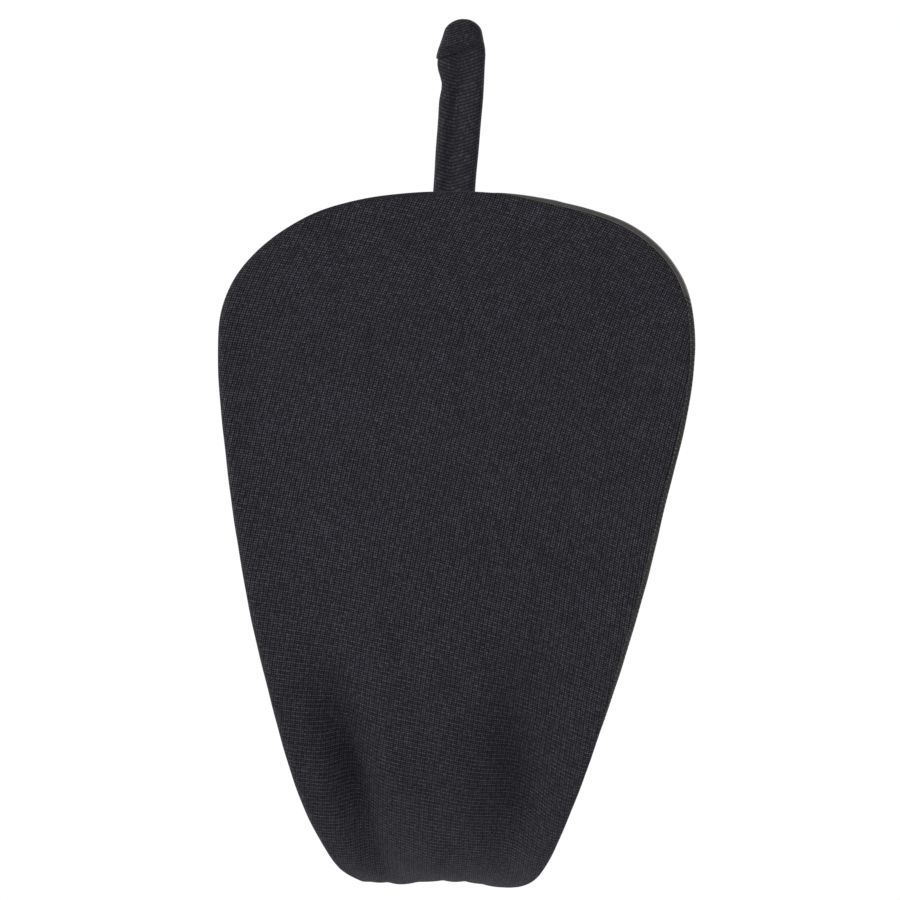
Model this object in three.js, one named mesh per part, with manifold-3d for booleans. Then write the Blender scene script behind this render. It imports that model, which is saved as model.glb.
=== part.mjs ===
// A sideless c-shaped brief: a stretch-knit front panel on a sprung wire loop, with a narrow back strap.
// Millimetres, +X to the wearer's left, +Z up, the front panel facing -Y.
// Every piece is laid out flat first: x across, s along the brief from the top edge of the front, and
// n through the cloth towards the wearer. The flat pieces are then bent round one spine curve.
import * as THREE from 'three';
import { mergeVertices } from 'three/addons/utils/BufferGeometryUtils.js';
import Module from 'manifold-3d';

const wasm = await Module();
wasm.setup();

// Driving dimensions. Places marked At are distances s along the spine.
const frontHalfWidth = 57.4;
const archHeight = 37;
const crotchHalfWidth = 27.5;
const crotchAt = 184;
const strapHalfWidth = 5.25;
const seamAt = 250;
const tipAt = 443;
const topHeading = -6;
const spineArcs = [
  { radius: 339, sweep: 16 },
  { radius: 130, sweep: 22 },
  { radius: 75, sweep: 24 },
  { radius: 46, sweep: 34 },
  { radius: 30, sweep: 72 },
  { radius: 85, sweep: 17 },
  { radius: 520, sweep: Infinity },
];

// How full the outline's curves are: the arch, the long sides, and the taper into the strap.
const archFullness = 0.56;
const shoulderFullness = 0.27;
const sideHold = 0.2;
const sideTaper = 0.4;
const sideSlope = 0.21;
const crotchReach = 18;
const strapReach = 28;

// Thicknesses of cloth, plastic and wire.
const wireRadius = 0.4;
const sleeveWall = 0.3;
const hemWall = 0.65;
const shellThickness = 1;
const liningThickness = 0.8;
const threadRadius = 0.25;
const strapWall = 0.6;
const capWall = 0.8;
const tackThickness = 0.6;

// Clearances.
const slip = 0.25;
const layGap = 0.3;
const threadGap = 0.1;
const flexGap = 1.2;

// Lengths and places of the smaller pieces.
const ferruleRun = 12;
const ferruleLength = 8;
const ferruleWall = 0.4;
const shoulderAt = 14;
const gussetAt = 112;
const bendFlexAt = 213;
const strapFlexAt = 283;
const tackLength = 2.4;
const tackInset = 0.65;
const strapLoft = 0.45;
const waistHalfThickness = 1.3;
const tipFlare = 0.4;
const tipLength = 12;
const tipCrown = 7;

// How finely the solids are cut.
const tightBendAt = 150;
const tightStep = 5;
const easyStep = 10;
const leastStep = 1.5;
const tubeSides = 4;
const wireSides = 3;
const strapSides = 4;
const capSides = 16;
const turnSteps = 8;
const edgeSamples = 600;

const sleeveInner = wireRadius + slip;
const sleeveOuter = sleeveInner + sleeveWall;
const hemInner = sleeveOuter + slip;
const hemOuter = hemInner + hemWall;
const panelInset = 2 * hemOuter + layGap;
const lobeRadius = hemOuter + strapLoft;
const tipHalfWidth = strapHalfWidth + tipFlare;
const tipHalfThickness = lobeRadius + tipFlare;
const shellNear = layGap / 2;
const liningFar = layGap / 2 + liningThickness;

const radians = THREE.MathUtils.degToRad;

// The spine: round stretches one after the other, down the front, under, and up the back.
function spineAt(distance) {
  let heading = radians(topHeading);
  let left = distance;
  let y = 0;
  let z = 0;
  for (const arc of spineArcs) {
    const turn = Math.min(left / arc.radius, radians(arc.sweep));
    y += arc.radius * (Math.cos(heading) - Math.cos(heading + turn));
    z -= arc.radius * (Math.sin(heading + turn) - Math.sin(heading));
    heading += turn;
    left -= arc.radius * turn;
  }
  return { y, z, heading };
}

// Where the spine runs level, under the wearer.
function lowestDistance() {
  let heading = radians(topHeading);
  let distance = 0;
  for (const arc of spineArcs) {
    const turn = Math.min(radians(90) - heading, radians(arc.sweep));
    distance += arc.radius * turn;
    heading += turn;
    if (heading >= radians(90) - 1e-9) break;
  }
  return distance;
}

const seat = spineAt(lowestDistance());
seat.z += liningFar;

// A flat point (x, s, n) in its place round the spine, measured from the seat of the gusset.
function bentPoint(x, s, n) {
  const foot = spineAt(s);
  const y = foot.y + n * Math.cos(foot.heading) - seat.y;
  const z = foot.z + n * Math.sin(foot.heading) - seat.z;
  return new THREE.Vector3(x, y, z);
}

function bend(geometry) {
  const place = geometry.attributes.position;
  for (let i = 0; i < place.count; i += 1) {
    const point = bentPoint(place.getX(i), place.getY(i), place.getZ(i));
    place.setXYZ(i, point.x, point.y, point.z);
  }
  return geometry;
}

// The right half of the flat outline, from the middle of the top edge to the strap's end.
function halfOutline() {
  const side = crotchAt - archHeight;
  const outline = new THREE.Path();
  outline.moveTo(0, 0);
  outline.bezierCurveTo(
    archFullness * frontHalfWidth, 0,
    frontHalfWidth, shoulderFullness * archHeight,
    frontHalfWidth, archHeight,
  );
  outline.bezierCurveTo(
    frontHalfWidth, archHeight + sideHold * side,
    crotchHalfWidth + sideSlope * sideTaper * side, crotchAt - sideTaper * side,
    crotchHalfWidth, crotchAt,
  );
  outline.bezierCurveTo(
    crotchHalfWidth - sideSlope * crotchReach, crotchAt + crotchReach,
    strapHalfWidth, seamAt - strapReach,
    strapHalfWidth, seamAt,
  );
  outline.lineTo(strapHalfWidth, tipAt);
  return outline;
}

const outline = halfOutline();

// The outline moved inwards, as points with the length run along them from the top.
function insetEdge(inset) {
  const edge = [];
  let run = 0;
  for (let i = 0; i <= edgeSamples; i += 1) {
    const point = outline.getPoint(i / edgeSamples);
    const along = outline.getTangent(i / edgeSamples);
    const x = point.x - along.y * inset;
    const s = point.y + along.x * inset;
    if (i > 0) run += Math.hypot(x - edge[i - 1].x, s - edge[i - 1].s);
    edge.push({ x, s, run });
  }
  return edge;
}

// The point of an edge at a given run or s, between its samples.
function edgeAt(edge, key, value) {
  let i = 1;
  while (i < edge.length - 1 && edge[i][key] < value) i += 1;
  const a = edge[i - 1];
  const b = edge[i];
  const share = (value - a[key]) / (b[key] - a[key]);
  return {
    x: a.x + share * (b.x - a.x),
    s: a.s + share * (b.s - a.s),
    run: a.run + share * (b.run - a.run),
  };
}

const rim = insetEdge(hemOuter);
const panelEdge = insetEdge(panelInset);

function rimRunAt(s) {
  return edgeAt(rim, 's', s).run;
}

// Where the pieces on one edge have their sections: close together on the arch and under the wearer.
function stationsOn(edge) {
  const end = edge[edge.length - 1].run;
  const stations = [0];
  for (let run = 0; run < end;) {
    const { s } = edgeAt(edge, 'run', run);
    const tight = s < archHeight || (s > tightBendAt && s < seamAt);
    run += tight ? tightStep : easyStep;
    stations.push(run);
  }
  return stations;
}

// The stations between two runs, and the two runs. A negative run is on the left half.
function runsBetween(edge, from, to) {
  const low = Math.min(from, to) + leastStep;
  const high = Math.max(from, to) - leastStep;
  const all = stationsOn(edge).flatMap((run) => (run > 0 ? [-run, run] : [run]));
  const within = all.filter((run) => run > low && run < high);
  within.sort((a, b) => (a - b) * Math.sign(to - from));
  return [from, ...within, to];
}

function edgePoints(edge, from, to, n) {
  return runsBetween(edge, from, to).map((run) => {
    const foot = edgeAt(edge, 'run', Math.abs(run));
    return new THREE.Vector3(Math.sign(run) * foot.x, foot.s, n);
  });
}

function ringShape(outer, inner) {
  const shape = new THREE.Shape();
  shape.absarc(0, 0, outer, 0, 2 * Math.PI, false);
  if (inner > 0) {
    const hole = new THREE.Path();
    hole.absarc(0, 0, inner, 0, 2 * Math.PI, true);
    shape.holes.push(hole);
  }
  return shape;
}

// A smooth path whose sections stand at its own points, however unevenly they are spaced.
class Rail extends THREE.CatmullRomCurve3 {
  getUtoTmapping(u) {
    return u;
  }
}

// A tube, or a rod where inner is 0, along flat points.
function flatTube(points, outer, inner, sides) {
  const path = new Rail(points);
  const settings = { extrudePath: path, steps: points.length - 1, curveSegments: sides };
  return new THREE.ExtrudeGeometry(ringShape(outer, inner), settings);
}

function rimTube(from, to, outer, inner, sides) {
  return bend(flatTube(edgePoints(rim, from, to, 0), outer, inner, sides));
}

// A sheet of cloth between the hems: a box whose sides follow the edge, from one s to another.
function sheet(fromRun, toRun, near, far) {
  const runs = runsBetween(panelEdge, fromRun, toRun);
  const rows = runs.length - 1;
  const box = new THREE.BoxGeometry(1, 1, 1, 2, rows, 1);
  const place = box.attributes.position;
  for (let i = 0; i < place.count; i += 1) {
    const row = Math.round((place.getY(i) + 0.5) * rows);
    const foot = edgeAt(panelEdge, 'run', runs[row]);
    const n = near + (place.getZ(i) + 0.5) * (far - near);
    place.setXYZ(i, 2 * place.getX(i) * foot.x, foot.s, n);
  }
  return bend(box);
}

function panelRunAt(s) {
  return edgeAt(panelEdge, 's', s).run;
}

// The strap's section: two round lobes, one over each wire, with a waist between them.
function lobedPath(path, radius, waist) {
  const centre = strapHalfWidth - lobeRadius;
  const angle = Math.asin(waist / radius);
  path.absarc(centre, 0, radius, angle - Math.PI, Math.PI - angle, false);
  path.absarc(-centre, 0, radius, angle, 2 * Math.PI - angle, false);
  path.closePath();
  return path;
}

function strapTube(from, to) {
  const shape = lobedPath(new THREE.Shape(), lobeRadius, waistHalfThickness);
  shape.holes.push(lobedPath(new THREE.Path(), lobeRadius - strapWall, waistHalfThickness - strapWall));
  const steps = Math.ceil((to - from) / (from < strapFlexAt ? tightStep : easyStep));
  const settings = { depth: to - from, steps, bevelEnabled: false, curveSegments: strapSides };
  const tube = new THREE.ExtrudeGeometry(shape, settings);
  tube.rotateX(Math.PI / 2);
  tube.scale(1, -1, 1);
  tube.translate(0, from, 0);
  return bend(flipped(tube));
}

// A mirrored geometry has its faces turned, so that they point out again.
function flipped(geometry) {
  const merged = bare(geometry);
  const index = merged.index.array;
  for (let i = 0; i < index.length; i += 3) {
    const first = index[i];
    index[i] = index[i + 1];
    index[i + 1] = first;
  }
  return merged;
}

function bare(geometry) {
  const copy = geometry.clone();
  copy.deleteAttribute('normal');
  copy.deleteAttribute('uv');
  return mergeVertices(copy, 1e-4);
}

function toManifold(geometry) {
  const merged = bare(geometry);
  const vertProperties = new Float32Array(merged.attributes.position.array);
  const triVerts = new Uint32Array(merged.index.array);
  return new wasm.Manifold(new wasm.Mesh({ numProp: 3, vertProperties, triVerts }));
}

function fromManifold(solid) {
  const mesh = solid.getMesh();
  const geometry = new THREE.BufferGeometry();
  geometry.setAttribute('position', new THREE.BufferAttribute(mesh.vertProperties, 3));
  geometry.setIndex(new THREE.BufferAttribute(mesh.triVerts, 1));
  return geometry;
}

// A flattened dome, closed at the tip. The profile is turned round and pressed thin.
function dome(halfWidth, halfThickness, length, crown, wall) {
  const profile = [];
  const arcSteps = 5;
  for (let i = 0; i <= arcSteps; i += 1) {
    const angle = (i / arcSteps) * (Math.PI / 2);
    profile.push(new THREE.Vector2(halfWidth * Math.sin(angle), length - crown + crown * Math.cos(angle)));
  }
  profile.push(new THREE.Vector2(halfWidth, 0));
  if (wall > 0) {
    profile.push(new THREE.Vector2(halfWidth - wall, 0));
    for (let i = arcSteps; i >= 0; i -= 1) {
      const angle = (i / arcSteps) * (Math.PI / 2);
      const x = (halfWidth - wall) * Math.sin(angle);
      profile.push(new THREE.Vector2(x, length - crown + (crown - wall) * Math.cos(angle)));
    }
  } else {
    profile.push(new THREE.Vector2(0, 0));
  }
  profile.reverse();
  const turned = new THREE.LatheGeometry(profile, capSides);
  return turned.scale(1, 1, halfThickness / halfWidth);
}

// The strap wire: up one side, round the tip, and down the other.
function hairpinPoints(from) {
  const x = strapHalfWidth - hemOuter;
  const turnAt = tipAt - capWall - layGap - wireRadius - slip - layGap - x;
  const straight = Math.ceil((turnAt - from) / easyStep);
  const up = [];
  for (let i = 0; i < straight; i += 1) {
    up.push(new THREE.Vector2(x, from + (i / straight) * (turnAt - from)));
  }
  const down = up.map((point) => new THREE.Vector2(-point.x, point.y)).reverse();
  const turn = new THREE.EllipseCurve(0, turnAt, x, x, 0, Math.PI).getPoints(turnSteps);
  return [...up, ...turn, ...down].map((point) => new THREE.Vector3(point.x, point.y, 0));
}

function tipPad() {
  const inset = capWall + layGap;
  const share = tipHalfThickness / tipHalfWidth;
  const padHalfWidth = tipHalfWidth - inset;
  const block = dome(padHalfWidth, padHalfWidth * share, tipLength - inset, tipCrown - inset, 0);
  block.translate(0, tipAt - tipLength, 0);
  const channel = flatTube(hairpinPoints(tipAt - 2 * tipLength), wireRadius + slip, 0, wireSides);
  return bend(fromManifold(toManifold(block).subtract(toManifold(channel))));
}

const blackKnit = { color: '#2d2c32', roughness: 0.95, metalness: 0 };
const blackTape = { color: '#34323a', roughness: 0.9, metalness: 0 };
const blackCotton = { color: '#29282c', roughness: 1, metalness: 0 };
const thread = { color: '#17161a', roughness: 0.8, metalness: 0 };
const springWire = { color: '#a9adb3', roughness: 0.35, metalness: 1 };
const clearPlastic = { color: '#55565c', roughness: 0.4, metalness: 0 };
const crimpMetal = { color: '#b59a5c', roughness: 0.35, metalness: 1 };
const softPad = { color: '#26252a', roughness: 0.6, metalness: 0 };

const brief = new THREE.Group();

function add(name, geometry, look) {
  const mesh = new THREE.Mesh(geometry, new THREE.MeshStandardMaterial(look));
  mesh.name = name;
  brief.add(mesh);
}

const bendStart = bendFlexAt + flexGap / 2;
const bendEnd = bendFlexAt - flexGap / 2;
const strapStart = strapFlexAt + flexGap / 2;
const strapEnd = strapFlexAt - flexGap / 2;
const coverStart = seamAt + layGap / 2;
const hemStop = seamAt - layGap / 2;

function addCloth() {
  const firstRow = 3.5;
  const shellFar = -shellNear - shellThickness;
  const gussetGap = threadRadius;
  add('front_shell', sheet(firstRow, panelRunAt(bendEnd), shellFar, -shellNear), blackKnit);
  add('rear_shell', sheet(panelRunAt(bendStart), panelRunAt(hemStop), shellFar, -shellNear), blackKnit);
  add('front_lining', sheet(firstRow, panelRunAt(gussetAt - gussetGap), shellNear, liningFar), blackKnit);
  const gusset = [panelRunAt(gussetAt + gussetGap), panelRunAt(bendEnd)];
  add('gusset_liner', sheet(gusset[0], gusset[1], shellNear, liningFar), blackCotton);
  const tail = [panelRunAt(bendStart), panelRunAt(hemStop)];
  add('gusset_liner_rear', sheet(tail[0], tail[1], shellNear, liningFar), blackCotton);
}

function addHems() {
  const shoulder = rimRunAt(shoulderAt);
  const half = layGap / 2;
  const sides = tubeSides;
  add('top_binding', rimTube(-shoulder + half, shoulder - half, hemOuter, hemInner, sides), blackTape);
  for (const [name, side] of [['left', -1], ['right', 1]]) {
    const front = [side * (shoulder + half), side * rimRunAt(bendEnd)];
    const rear = [side * rimRunAt(bendStart), side * rimRunAt(hemStop)];
    add(`${name}_hem`, rimTube(front[0], front[1], hemOuter, hemInner, sides), blackKnit);
    add(`${name}_hem_rear`, rimTube(rear[0], rear[1], hemOuter, hemInner, sides), blackKnit);
  }
}

function addThreads() {
  const edge = insetEdge(2 * hemOuter + layGap / 2);
  const from = edgeAt(edge, 's', shoulderAt).run;
  const to = edgeAt(edge, 's', bendEnd).run;
  const lift = liningFar + threadGap + threadRadius;
  const outside = -(shellNear + shellThickness + threadGap + threadRadius);
  const right = flatTube(edgePoints(edge, from, to, outside), threadRadius, 0, wireSides);
  const left = flatTube(edgePoints(edge, -from, -to, lift), threadRadius, 0, wireSides);
  add('right_edge_thread', bend(right), thread);
  add('left_edge_thread', bend(left), thread);
  const reach = edgeAt(panelEdge, 's', gussetAt).x;
  const seam = new THREE.CylinderGeometry(threadRadius, threadRadius, 2 * reach, 2 * wireSides);
  seam.rotateZ(Math.PI / 2);
  seam.translate(0, gussetAt, lift);
  add('gusset_seam_thread', bend(seam), thread);
  const tack = new THREE.BoxGeometry(2 * (strapHalfWidth - tackInset), tackLength, tackThickness);
  tack.translate(0, seamAt, lobeRadius + layGap + tackThickness / 2);
  add('seam_tack', bend(tack), thread);
}

function addFrame() {
  const low = rimRunAt(bendEnd);
  const butt = layGap / 2;
  const crimp = ferruleLength / 2 + layGap;
  add('wire_left', rimTube(-low, ferruleRun - butt, wireRadius, 0, wireSides), springWire);
  add('wire_right', rimTube(ferruleRun + butt, low, wireRadius, 0, wireSides), springWire);
  const ferrule = [ferruleRun - ferruleLength / 2, ferruleRun + ferruleLength / 2];
  const crimpOuter = sleeveInner + ferruleWall;
  add('wire_ferrule', rimTube(ferrule[0], ferrule[1], crimpOuter, sleeveInner, wireSides), crimpMetal);
  add('sleeve_left', rimTube(-low, ferruleRun - crimp, sleeveOuter, sleeveInner, wireSides), clearPlastic);
  add('sleeve_right', rimTube(ferruleRun + crimp, low, sleeveOuter, sleeveInner, wireSides), clearPlastic);
  const bendRuns = [rimRunAt(bendStart), rimRunAt(strapEnd)];
  const strapRuns = [rimRunAt(strapStart), rimRunAt(tipAt - tipLength - layGap)];
  for (const [name, side] of [['left', -1], ['right', 1]]) {
    const [near, far] = bendRuns.map((run) => side * run);
    add(`wire_bend_${name}`, rimTube(near, far, wireRadius, 0, wireSides), springWire);
    add(`sleeve_bend_${name}`, rimTube(near, far, sleeveOuter, sleeveInner, wireSides), clearPlastic);
    const [from, to] = strapRuns.map((run) => side * run);
    add(`sleeve_strap_${name}`, rimTube(from, to, sleeveOuter, sleeveInner, wireSides), clearPlastic);
  }
  add('wire_strap', bend(flatTube(hairpinPoints(strapStart), wireRadius, 0, wireSides)), springWire);
}

function addStrap() {
  add('strap_cover_lower', strapTube(coverStart, strapEnd), blackKnit);
  add('strap_cover', strapTube(strapStart, tipAt - tipLength - layGap), blackKnit);
  const cap = dome(tipHalfWidth, tipHalfThickness, tipLength, tipCrown, capWall);
  cap.translate(0, tipAt - tipLength, 0);
  add('tip_cap', bend(cap), blackKnit);
  add('tip_pad', tipPad(), softPad);
}

addCloth();
addHems();
addThreads();
addFrame();
addStrap();

export default brief;
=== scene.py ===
import math

import bmesh
import bpy
import numpy as np
from mathutils import Matrix, Vector


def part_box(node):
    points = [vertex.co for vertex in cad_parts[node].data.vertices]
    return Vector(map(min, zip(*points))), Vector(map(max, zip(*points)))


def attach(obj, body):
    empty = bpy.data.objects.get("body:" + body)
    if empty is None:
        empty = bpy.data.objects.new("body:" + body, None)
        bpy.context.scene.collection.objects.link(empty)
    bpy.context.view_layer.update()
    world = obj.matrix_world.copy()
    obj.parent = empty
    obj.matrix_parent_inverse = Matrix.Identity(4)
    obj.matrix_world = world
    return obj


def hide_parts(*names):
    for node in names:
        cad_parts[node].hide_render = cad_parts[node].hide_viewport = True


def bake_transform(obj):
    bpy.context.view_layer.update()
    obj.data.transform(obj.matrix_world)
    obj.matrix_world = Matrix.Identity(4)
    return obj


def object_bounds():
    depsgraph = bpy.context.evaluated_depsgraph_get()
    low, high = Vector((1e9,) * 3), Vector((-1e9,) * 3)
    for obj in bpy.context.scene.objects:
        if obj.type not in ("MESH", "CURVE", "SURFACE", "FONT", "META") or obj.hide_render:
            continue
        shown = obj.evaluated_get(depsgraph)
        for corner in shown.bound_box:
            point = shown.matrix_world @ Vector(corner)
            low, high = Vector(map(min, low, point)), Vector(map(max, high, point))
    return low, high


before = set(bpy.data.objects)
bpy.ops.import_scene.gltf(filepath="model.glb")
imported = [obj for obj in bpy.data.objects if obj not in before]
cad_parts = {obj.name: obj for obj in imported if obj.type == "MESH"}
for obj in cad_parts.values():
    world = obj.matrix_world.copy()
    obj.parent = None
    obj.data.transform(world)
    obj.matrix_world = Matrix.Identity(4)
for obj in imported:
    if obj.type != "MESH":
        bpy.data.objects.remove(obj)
cadBox = [list(corner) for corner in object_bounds()]

# Every piece is laid out flat in millimetres and then bent round one spine: x across, s along the
# brief from the top edge of the front, n through the cloth towards the wearer.

layout = {
    "topHeading": -6,
    "arcs": [(339, 16), (130, 22), (75, 24), (46, 34), (30, 72), (85, 17), (520, 360)],  # radius, degrees
    "seatLift": 0.95,  # the gusset's inner face stands this far above the spine
    "frontHalfWidth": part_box("right_hem")[1][0] * 1000,
    "archHeight": 37,
    "crotchHalfWidth": 27.5,
    "crotchAt": 184,
    "strapHalfWidth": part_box("strap_cover")[1][0] * 1000,
    "seamAt": 250,
    "tipAt": 443,
    "shoulderAt": 14,
    "gussetAt": 112,
    "rollRadius": 1.85,  # the rolled edge over the wire
    "bendFlex": (200, 226),  # spine points for the lower joint's bend at these distances are worked out, and nothing bends with them
    "strapFlex": (262, 306),
}


def spineAt(distance):
    left = np.array(distance, float)
    heading = np.full(left.shape, math.radians(layout["topHeading"]))
    y = np.zeros(left.shape)
    z = np.zeros(left.shape)
    for radius, sweep in layout["arcs"]:
        turn = np.minimum(left / radius, math.radians(sweep))
        y += radius * (np.cos(heading) - np.cos(heading + turn))
        z -= radius * (np.sin(heading + turn) - np.sin(heading))
        heading = heading + turn
        left = left - radius * turn
    return y, z, heading


def lowestDistance():
    distance = 0.0
    heading = layout["topHeading"]
    for radius, sweep in layout["arcs"]:
        turn = min(sweep, 90 - heading)
        distance += radius * math.radians(turn)
        heading += turn
        if heading >= 90 - 1e-9:
            break
    return distance


seatY, seatZ = (float(value) for value in spineAt(lowestDistance())[:2])


def columnsOf(*parts):
    return np.stack(parts, axis=-1)


def ease(low, high, value):
    t = np.clip((value - low) / (high - low), 0, 1)
    return t * t * (3 - 2 * t)


# A sewn brief never sits quite even on its wire: the top leans right, the lower left side draws in.
askew = {
    "top": 3.4,
    "topReach": 34,
    "topOut": 1.5,
    "leftOut": -1.1,
    "leftIn": 4.3,
    "leftLow": 2.6,
    "rightIn": -0.75,
    "rightOut": -0.6,
    "rightLow": -0.9,
}


def swell(centre, reach, value):
    return np.exp(-((value - centre) / reach) ** 2)


def askewAt(x, s):
    share = np.clip(x / np.clip(60 - 0.16 * np.maximum(s - 40, 0), 8, 60), -1, 1)
    lean = askew["top"] * (1 - ease(0, askew["topReach"], s)) * (s < 200)
    leftSide = askew["leftOut"] * swell(103, 32, s) + askew["leftIn"] * swell(186, 24, s)
    leftSide = leftSide + askew["leftLow"] * swell(194, 9, s)
    rightSide = askew["rightIn"] * swell(72, 18, s) + askew["rightOut"] * swell(192, 12, s)
    rightSide = rightSide + askew["rightLow"] * swell(203, 8, s)
    spread = askew["topOut"] * share * swell(5, 4.5, s)
    return lean + spread + leftSide * (1 - share) / 2 + rightSide * (1 + share) / 2


def bend(flat):
    # flat (x, s, n) rows in millimetres to places in the frame, in metres
    x, s, n = flat[..., 0], flat[..., 1], flat[..., 2]
    x = x + askewAt(x, s)
    y, z, heading = spineAt(s)
    bentY = y + n * np.cos(heading) - seatY
    bentZ = z + n * np.sin(heading) - seatZ - layout["seatLift"]
    return columnsOf(x, bentY, bentZ) / 1000


def spinePoint(s):
    y, z, _ = spineAt(s)
    return 0.0, float(y - seatY) / 1000, float(z - seatZ - layout["seatLift"]) / 1000


def bezier(corners, count):
    t = np.linspace(0, 1, count)[:, None]
    a, b, c, d = (np.array(corner, float) for corner in corners)
    return (1 - t) ** 3 * a + 3 * (1 - t) ** 2 * t * b + 3 * (1 - t) * t ** 2 * c + t ** 3 * d


def halfOutline(count=600):
    wide, low, thin = layout["frontHalfWidth"], layout["crotchHalfWidth"], layout["strapHalfWidth"]
    arch, crotch, seam = layout["archHeight"], layout["crotchAt"], layout["seamAt"]
    side = crotch - arch
    top = bezier([(0, 0), (0.56 * wide, 0), (wide, 0.27 * arch), (wide, arch)], count)
    flankPull = (low + 0.21 * 0.4 * side, crotch - 0.4 * side)
    flank = bezier([(wide, arch), (wide, arch + 0.2 * side), flankPull, (low, crotch)], count)
    taper = bezier([(low, crotch), (low - 0.21 * 18, crotch + 18), (thin, seam - 28), (thin, seam)], count)
    strap = np.linspace((thin, seam), (thin, layout["tipAt"]), count)
    return np.concatenate([top[:-1], flank[:-1], taper[:-1], strap])


outline = halfOutline()
along = np.gradient(outline, axis=0)
along /= np.linalg.norm(along, axis=1)[:, None]
away = np.stack([along[:, 1], -along[:, 0]], axis=1)
rimLine = outline - layout["rollRadius"] * away
rimRun = np.concatenate([[0], np.cumsum(np.linalg.norm(np.diff(rimLine, axis=0), axis=1))])


def runAt(s):
    return float(np.interp(s, rimLine[:, 1], rimRun))


def rimAt(run):
    # the wire's line at a signed run from the top, left negative: x, s and the way out of the cloth
    size = np.abs(run)
    side = np.where(np.asarray(run) < 0, -1.0, 1.0)
    x = side * np.interp(size, rimRun, rimLine[:, 0])
    s = np.interp(size, rimRun, rimLine[:, 1])
    outX = side * np.interp(size, rimRun, away[:, 0])
    outS = np.interp(size, rimRun, away[:, 1])
    return x, s, outX, outS


def rimHalfWidth(s):
    return np.interp(s, rimLine[:, 1], rimLine[:, 0])


def insetAt(x, s):
    # how far a flat point lies inside the wire's line
    line = rimLine[::6]
    best = np.full(np.shape(x), 1e9)
    for lineX, lineS in line:
        best = np.minimum(best, (np.abs(x) - lineX) ** 2 + (s - lineS) ** 2)
    return np.sqrt(best)


# Cloth grain: wales and courses of the knit lie skewed on the front, and the map follows them in millimetres.

grain = {
    "skewTop": 0.34,
    "skewFade": 95,
    "courseTilt": -0.24,
    "courseBow": -0.0015,
    "strapV": (0.30, 0.42),
}


def grainAt(x, s):
    fade = grain["skewFade"]
    wale = x + grain["skewTop"] * fade * (1 - np.exp(-s / fade))
    course = s + grain["courseTilt"] * x + grain["courseBow"] * x * x
    return columnsOf(wale, course)


# mesh helpers


def gridFaces(rows, columns, wrap=False, flip=False):
    faces = []
    last = columns if wrap else columns - 1
    for row in range(rows - 1):
        for column in range(last):
            after = (column + 1) % columns
            face = (row * columns + column, row * columns + after,
                    (row + 1) * columns + after, (row + 1) * columns + column)
            faces.append(face[::-1] if flip else face)
    return faces


def makePiece(name, points, faces, weave, finish, marks=None):
    mesh = bpy.data.meshes.new(name)
    mesh.from_pydata([tuple(point) for point in points], [], faces)
    if marks:
        for key, values in marks.items():
            attribute = mesh.attributes.new(key, "FLOAT", "POINT")
            attribute.data.foreach_set("value", np.asarray(values, np.float32).ravel())
    if weave is not None:
        corners = np.zeros(len(mesh.loops), np.int32)
        mesh.loops.foreach_get("vertex_index", corners)
        mapped = mesh.uv_layers.new(name="grain")
        mapped.data.foreach_set("uv", np.asarray(weave, np.float32)[corners].ravel())
    mesh.polygons.foreach_set("use_smooth", [True] * len(mesh.polygons))
    mesh.materials.append(finish)
    piece = bpy.data.objects.new(name, mesh)
    bpy.context.collection.objects.link(piece)
    return piece


def settle(piece):
    # turns the live modifiers into plain mesh
    view = bpy.context.evaluated_depsgraph_get()
    solid = bpy.data.meshes.new_from_object(piece.evaluated_get(view), depsgraph=view)
    old = piece.data
    piece.modifiers.clear()
    piece.data = solid
    solid.name = piece.name
    bpy.data.meshes.remove(old)
    return piece


def thicken(piece, thickness):
    wall = piece.modifiers.new("wall", "SOLIDIFY")
    wall.thickness = thickness / 1000
    wall.offset = -1
    wall.use_even_offset = False
    wall.use_quality_normals = True
    return settle(piece)


def weld(piece, distance=1e-6):
    work = bmesh.new()
    work.from_mesh(piece.data)
    bmesh.ops.remove_doubles(work, verts=work.verts, dist=distance)
    work.to_mesh(piece.data)
    work.free()
    return piece


def turningFrames(centres, weakest):
    # the heading along a path, and two sides that turn with it as little as they can
    heading = np.gradient(centres, axis=0)
    heading /= np.linalg.norm(heading, axis=1)[:, None]
    normal = np.cross(heading[0], (1, 0, 0))
    if np.linalg.norm(normal) < weakest:
        normal = np.cross(heading[0], (0, 1, 0))
    normals = []
    for step in heading:
        normal = normal - step * np.dot(normal, step)
        normal = normal / np.linalg.norm(normal)
        normals.append(normal)
    normals = np.array(normals)
    return heading, normals, np.cross(heading, normals)


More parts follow.
